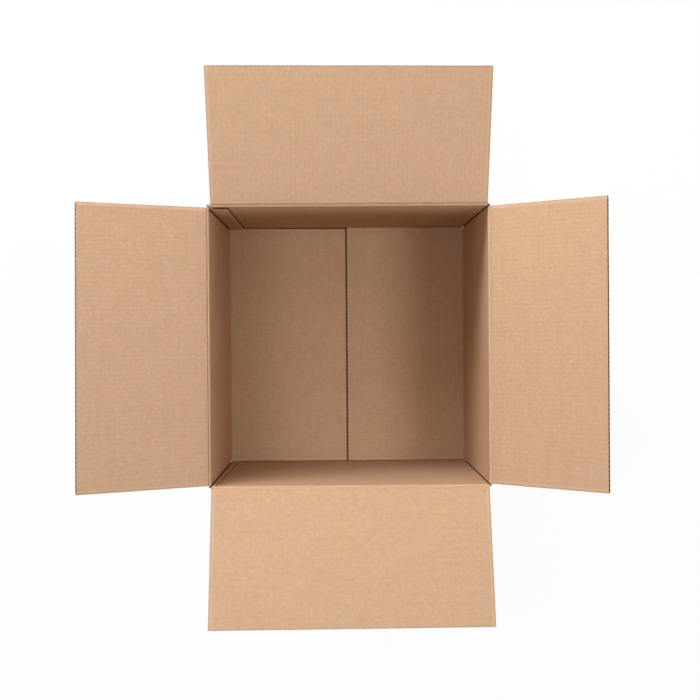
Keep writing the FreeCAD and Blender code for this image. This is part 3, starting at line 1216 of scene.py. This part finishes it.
class NodeTree:
    """Short names for building a material's nodes."""

    def __init__(self, name):
        self.material = bpy.data.materials.new(name)
        self.material.use_nodes = True
        self.tree = self.material.node_tree
        self.shader = self.tree.nodes["Principled BSDF"]

    def node(self, kind, **values):
        made = self.tree.nodes.new(kind)
        for name, value in values.items():
            setattr(made, name, value)
        return made

    def link(self, source, target):
        self.tree.links.new(source, target)

    def attribute(self, name):
        return self.node("ShaderNodeAttribute", attribute_name=name, attribute_type="GEOMETRY")

    def math(self, operation, first, second=None, clamp=False):
        made = self.node("ShaderNodeMath", operation=operation, use_clamp=clamp)
        for socket, value in zip(made.inputs, (first, second)):
            if value is None:
                continue
            if isinstance(value, (int, float)):
                socket.default_value = value
            else:
                self.link(value, socket)
        return made.outputs[0]

    def noise(self, vector, scale, detail=3.0, roughness=0.55):
        made = self.node("ShaderNodeTexNoise")
        made.inputs["Scale"].default_value = scale
        made.inputs["Detail"].default_value = detail
        made.inputs["Roughness"].default_value = roughness
        self.link(vector, made.inputs["Vector"])
        return made.outputs[0]

    def stretch(self, vector, scale):
        made = self.node("ShaderNodeMapping")
        made.inputs["Scale"].default_value = scale
        self.link(vector, made.inputs["Vector"])
        return made.outputs[0]

    def ramp(self, factor, low, high, first=0.0, last=1.0):
        made = self.node("ShaderNodeMapRange", interpolation_type="SMOOTHSTEP")
        made.inputs["From Min"].default_value = low
        made.inputs["From Max"].default_value = high
        made.inputs["To Min"].default_value = first
        made.inputs["To Max"].default_value = last
        self.link(factor, made.inputs["Value"])
        return made.outputs["Result"]

    def blend(self, factor, first, second, mode="MIX"):
        made = self.node("ShaderNodeMix", data_type="RGBA", blend_type=mode)
        sockets = (made.inputs[0], made.inputs[6], made.inputs[7])
        for socket, value in zip(sockets, (factor, first, second)):
            if isinstance(value, (int, float)):
                socket.default_value = value
            elif isinstance(value, (tuple, list)):
                socket.default_value = (*value[:3], 1.0)
            else:
                self.link(value, socket)
        return made.outputs[2]

    def tint(self, colour, tint, factor, low, high, most):
        """Mixes up to most of a tint into the colour, as the factor goes from low to high."""
        return self.blend(self.ramp(factor, low, high, 0.0, most), colour, tint)

    def gloss(self, roughness, specular):
        self.shader.inputs["Roughness"].default_value = roughness
        self.shader.inputs["Specular IOR Level"].default_value = specular

    def bump(self, height, strength, distance):
        made = self.node("ShaderNodeBump")
        made.inputs["Strength"].default_value = strength
        made.inputs["Distance"].default_value = distance
        self.link(height, made.inputs["Height"])
        self.link(made.outputs[0], self.shader.inputs["Normal"])


# How dark the darkest tone is, for cut edges and for painted shade in flutes and creases, as a share of the
# deep tone
SHADED = 0.30


def kraft_material():
    nodes = NodeTree("Kraft board")
    tone = colours()
    paper = tuple(tone.paper)
    pale = tuple(tone.pale)
    deep = tuple(tone.deep)
    spot = nodes.node("ShaderNodeTexCoord").outputs["Object"]
    place = nodes.attribute("board").outputs["Vector"]
    wear_and_shade = nodes.attribute("wear_and_shade").outputs["Fac"]

    # Pulp clouds, from a hand's width down to single clumps
    clouds = nodes.noise(spot, 45.0, 2.0, 0.5)
    colour = nodes.tint(paper, deep, clouds, 0.36, 0.66, 0.045)
    clumps = nodes.noise(spot, 190.0, 5.0, 0.62)
    colour = nodes.tint(colour, deep, clumps, 0.48, 0.70, 0.11)
    colour = nodes.tint(colour, pale, clumps, 0.52, 0.30, 0.18)
    tint = nodes.ramp(nodes.noise(spot, 48.0, 3.0, 0.6), 0.35, 0.65)
    colour = nodes.blend(nodes.math("MULTIPLY", tint, 0.5), colour, tuple(tone.pink), "SOFT_LIGHT")

    # Fibres lie across the flutes, the way the paper ran through the mill
    fibres = nodes.noise(nodes.stretch(place, (210, 980, 500)), 1.0, 4.0, 0.68)
    colour = nodes.tint(colour, deep, fibres, 0.52, 0.76, 0.26)
    colour = nodes.tint(colour, pale, fibres, 0.48, 0.26, 0.32)
    streaks = nodes.noise(nodes.stretch(place, (7, 330, 500)), 1.0, 2.0, 0.6)
    colour = nodes.tint(colour, deep, streaks, 0.40, 0.66, 0.07)

    # Specks of bark and pale shives
    grit = nodes.noise(spot, 520.0, 2.0, 0.5)
    colour = nodes.tint(colour, deep, grit, 0.60, 0.80, 0.4)
    colour = nodes.tint(colour, pale, grit, 0.40, 0.20, 0.4)
    flecks = nodes.node("ShaderNodeTexVoronoi", feature="F1")
    flecks.inputs["Scale"].default_value = 60.0
    nodes.link(spot, flecks.inputs["Vector"])
    fleck = nodes.ramp(flecks.outputs["Distance"], 0.075, 0.03)
    chosen = nodes.ramp(nodes.noise(spot, 23.0, 1.0), 0.60, 0.66)
    fleck = nodes.math("MULTIPLY", fleck, chosen)
    colour = nodes.blend(nodes.math("MULTIPLY", fleck, 0.75), colour, deep)

    # The flutes show through the facing: painted shade darkens the troughs where it sinks between them
    parts = nodes.node("ShaderNodeSeparateXYZ")
    nodes.link(place, parts.inputs[0])
    turns = nodes.math("MULTIPLY", parts.outputs["X"], 2 * math.pi / board().pitch)
    ribs = nodes.math("COSINE", turns)
    side = nodes.math("MULTIPLY", ribs, parts.outputs["Z"])
    colour = nodes.blend(nodes.ramp(side, -1.5, 1.5, 0.075, 0.0), colour, deep)

    # Rubbed paper and painted highlights are paler; cut edges are darker, and painted shade darkens creases,
    # the inside of the flutes and hidden faces
    rubbed = nodes.noise(spot, 500.0, 3.0, 0.6)
    worn_and_painted_light = nodes.math("MULTIPLY", wear_and_shade, nodes.ramp(rubbed, 0.15, 0.6, 0.6, 1.0), clamp=True)
    colour = nodes.blend(worn_and_painted_light, colour, pale)
    shaded = nodes.math("MULTIPLY", wear_and_shade, -1.0, clamp=True)
    colour = nodes.blend(shaded, colour, tuple(value * SHADED for value in deep))
    nodes.link(colour, nodes.shader.inputs["Base Color"])

    nodes.gloss(0.86, 0.22)

    height = nodes.math("MULTIPLY", fibres, 0.6)
    height = nodes.math("ADD", height, nodes.math("MULTIPLY", grit, 0.5))
    nodes.bump(height, 0.35, 0.12 * MM)
    return nodes.material


def tape_material():
    nodes = NodeTree("Packing tape")
    tone = tuple(colours().tape)
    spot = nodes.node("ShaderNodeTexCoord").outputs["Object"]
    streaks = nodes.noise(nodes.stretch(spot, (14, 220, 60)), 1.0, 3.0, 0.5)
    darker = tuple(value * 0.72 for value in tone)
    colour = nodes.blend(nodes.ramp(streaks, 0.35, 0.7), tone, darker)
    bubbles = nodes.ramp(nodes.noise(spot, 160.0, 2.0), 0.62, 0.70)
    paler = tuple(min(1.0, value * 1.5) for value in tone)
    colour = nodes.blend(nodes.math("MULTIPLY", bubbles, 0.45), colour, paler)
    nodes.link(colour, nodes.shader.inputs["Base Color"])
    nodes.gloss(0.38, 0.3)
    nodes.bump(streaks, 0.25, 0.2 * MM)
    return nodes.material


FLOOR_GLOW = 0.94


def floor_material():
    """White all over for the camera, with the box's shadow kept faintly."""
    nodes = NodeTree("White floor")
    nodes.shader.inputs["Base Color"].default_value = (0.86, 0.86, 0.86, 1)
    nodes.gloss(0.9, 0.0)
    glow = nodes.node("ShaderNodeEmission")
    glow.inputs["Strength"].default_value = 1.0
    path = nodes.node("ShaderNodeLightPath")
    seen = nodes.math("ADD", path.outputs["Is Camera Ray"], path.outputs["Is Glossy Ray"], True)
    join = nodes.node("ShaderNodeMixShader")
    nodes.link(nodes.math("MULTIPLY", seen, FLOOR_GLOW), join.inputs[0])
    nodes.link(nodes.shader.outputs[0], join.inputs[1])
    nodes.link(glow.outputs[0], join.inputs[2])
    nodes.link(join.outputs[0], nodes.tree.nodes["Material Output"].inputs["Surface"])
    return nodes.material


class MATERIAL_OT_carton_finishes(bpy.types.Operator):
    """Makes the kraft board, packing tape and floor materials"""

    bl_idname = "material.carton_finishes"
    bl_label = "Finishes"

    def execute(self, context):
        kraft_material()
        tape_material()
        floor_material()
        return {"FINISHED"}


# Stage

# Soft lamps round the box: azimuth and elevation in degrees, distance and width in metres, and
# power in watts. The powers come from comparing test renders, each with one lamp, with the
# photo's average brightness in broad areas, and were rounded.
LAMPS = [
    ("low_front", 270, 15, 3.2, 1.4, 38),
    ("low_back", 90, 15, 3.2, 1.4, 17),
    ("key_back_left", 135, 27, 3.2, 1.2, 19.5),
    ("fill_left", 180, 27, 3.2, 1.2, 8),
    ("fill_right", 0, 27, 3.2, 1.2, 12),
    ("near_back_left", 120, 38, 1.7, 0.9, 16.5),
    ("near_back_right", 60, 38, 1.7, 0.9, 2),
    ("high_back_right", 45, 65, 3.2, 1.2, 7),
    ("high_back_left", 135, 65, 3.2, 1.2, 2),
    ("high_right", 0, 73, 3.2, 0.7, 26.5),
    ("high_left", 180, 77, 3.2, 0.8, 18),
]
LAMP_AIM = Vector((0, 0, 0.2))
SENSOR_WIDTH = 36
CLIP_START = 0.05
GROUND_HALF = 15
GROUND_DROP = 0.2 * MM


def polar(azimuth, elevation, distance):
    """A place round the box, seen from the point that the lamps aim at."""
    turn = math.radians(azimuth)
    rise = math.radians(elevation)
    level = distance * math.cos(rise)
    return LAMP_AIM + Vector(
        (level * math.cos(turn), level * math.sin(turn), distance * math.sin(rise))
    )


def add_lamp(name, place, size, power):
    light = bpy.data.lights.new(name, "AREA")
    light.shape = "DISK"
    light.size = size
    light.energy = power
    lamp = bpy.data.objects.new(name, light)
    lamp.location = place
    target = LAMP_AIM - Vector(place)
    lamp.rotation_euler = target.to_track_quat("-Z", "Y").to_euler()
    lamp.visible_camera = False
    bpy.context.scene.collection.objects.link(lamp)


class SCENE_OT_carton_studio(bpy.types.Operator):
    """Sets the camera, the lamps, the even white surroundings and the floor"""

    bl_idname = "scene.carton_studio"
    bl_label = "Studio"

    def execute(self, context):
        scene = context.scene
        studio = scene.carton_studio
        scene.view_settings.view_transform = "Standard"

        lens = bpy.data.cameras.new("overhead")
        lens.sensor_width = SENSOR_WIDTH
        lens.lens = studio.lens
        lens.clip_start = CLIP_START
        camera = bpy.data.objects.new("overhead", lens)
        camera.location = studio.camera_place
        camera.rotation_euler = studio.camera_turn
        scene.collection.objects.link(camera)
        scene.camera = camera

        world = bpy.data.worlds.new("studio")
        scene.world = world
        world.use_nodes = True
        tree = world.node_tree
        back = tree.nodes["Background"]
        path = tree.nodes.new("ShaderNodeLightPath")
        seen = tree.nodes.new("ShaderNodeMath")
        seen.operation = "MAXIMUM"
        tree.links.new(path.outputs["Is Camera Ray"], seen.inputs[0])
        tree.links.new(path.outputs["Is Glossy Ray"], seen.inputs[1])
        level = tree.nodes.new("ShaderNodeMapRange")
        level.inputs["To Min"].default_value = studio.sky
        level.inputs["To Max"].default_value = 1.0
        tree.links.new(seen.outputs[0], level.inputs["Value"])
        tree.links.new(level.outputs[0], back.inputs["Strength"])
        back.inputs["Color"].default_value = (1, 1, 1, 1)

        for name, azimuth, elevation, distance, size, power in LAMPS:
            add_lamp(name, polar(azimuth, elevation, distance), size, power)

        bm = bmesh.new()
        bmesh.ops.create_grid(bm, x_segments=1, y_segments=1, size=GROUND_HALF)
        bmesh.ops.translate(bm, verts=bm.verts, vec=(0, 0, -GROUND_DROP))
        mesh = bpy.data.meshes.new("floor")
        bm.to_mesh(mesh)
        bm.free()
        mesh.materials.append(bpy.data.materials["White floor"])
        ground = bpy.data.objects.new("floor", mesh)
        scene.collection.objects.link(ground)
        return {"FINISHED"}


class VIEW3D_PT_carton(bpy.types.Panel):
    """Lists the box's sizes, colours and building steps"""

    bl_label = "Open Corrugated Box"
    bl_space_type = "VIEW_3D"
    bl_region_type = "UI"
    bl_category = "Carton"

    def draw(self, context):
        scene = context.scene
        for group in (scene.carton_board, scene.carton_colours, scene.carton_studio):
            box = self.layout.box()
            for name in group.__annotations__:
                box.prop(group, name)
        for operator in OPERATORS:
            self.layout.operator(operator.bl_idname)


GROUPS = {
    "carton_board": BoardSizes,
    "carton_colours": KraftColours,
    "carton_studio": StudioSettings,
}
OPERATORS = [
    MATERIAL_OT_carton_finishes,
    MESH_OT_carton_body,
    MESH_OT_carton_flaps,
    MESH_OT_carton_creases,
    MESH_OT_carton_tape,
    SCENE_OT_carton_studio,
]


def register():
    for name, group in GROUPS.items():
        bpy.utils.register_class(group)
        setattr(bpy.types.Scene, name, PointerProperty(type=group))
    for operator in OPERATORS:
        bpy.utils.register_class(operator)
    bpy.utils.register_class(VIEW3D_PT_carton)


def unregister():
    bpy.utils.unregister_class(VIEW3D_PT_carton)
    for operator in reversed(OPERATORS):
        bpy.utils.unregister_class(operator)
    for name, group in reversed(GROUPS.items()):
        delattr(bpy.types.Scene, name)
        bpy.utils.unregister_class(group)


def main():
    register()
    bpy.ops.material.carton_finishes()
    bpy.ops.mesh.carton_body()
    bpy.ops.mesh.carton_flaps()
    bpy.ops.mesh.carton_creases()
    bpy.ops.mesh.carton_tape()
    bpy.ops.scene.carton_studio()


if __name__ == "__main__":
    main()
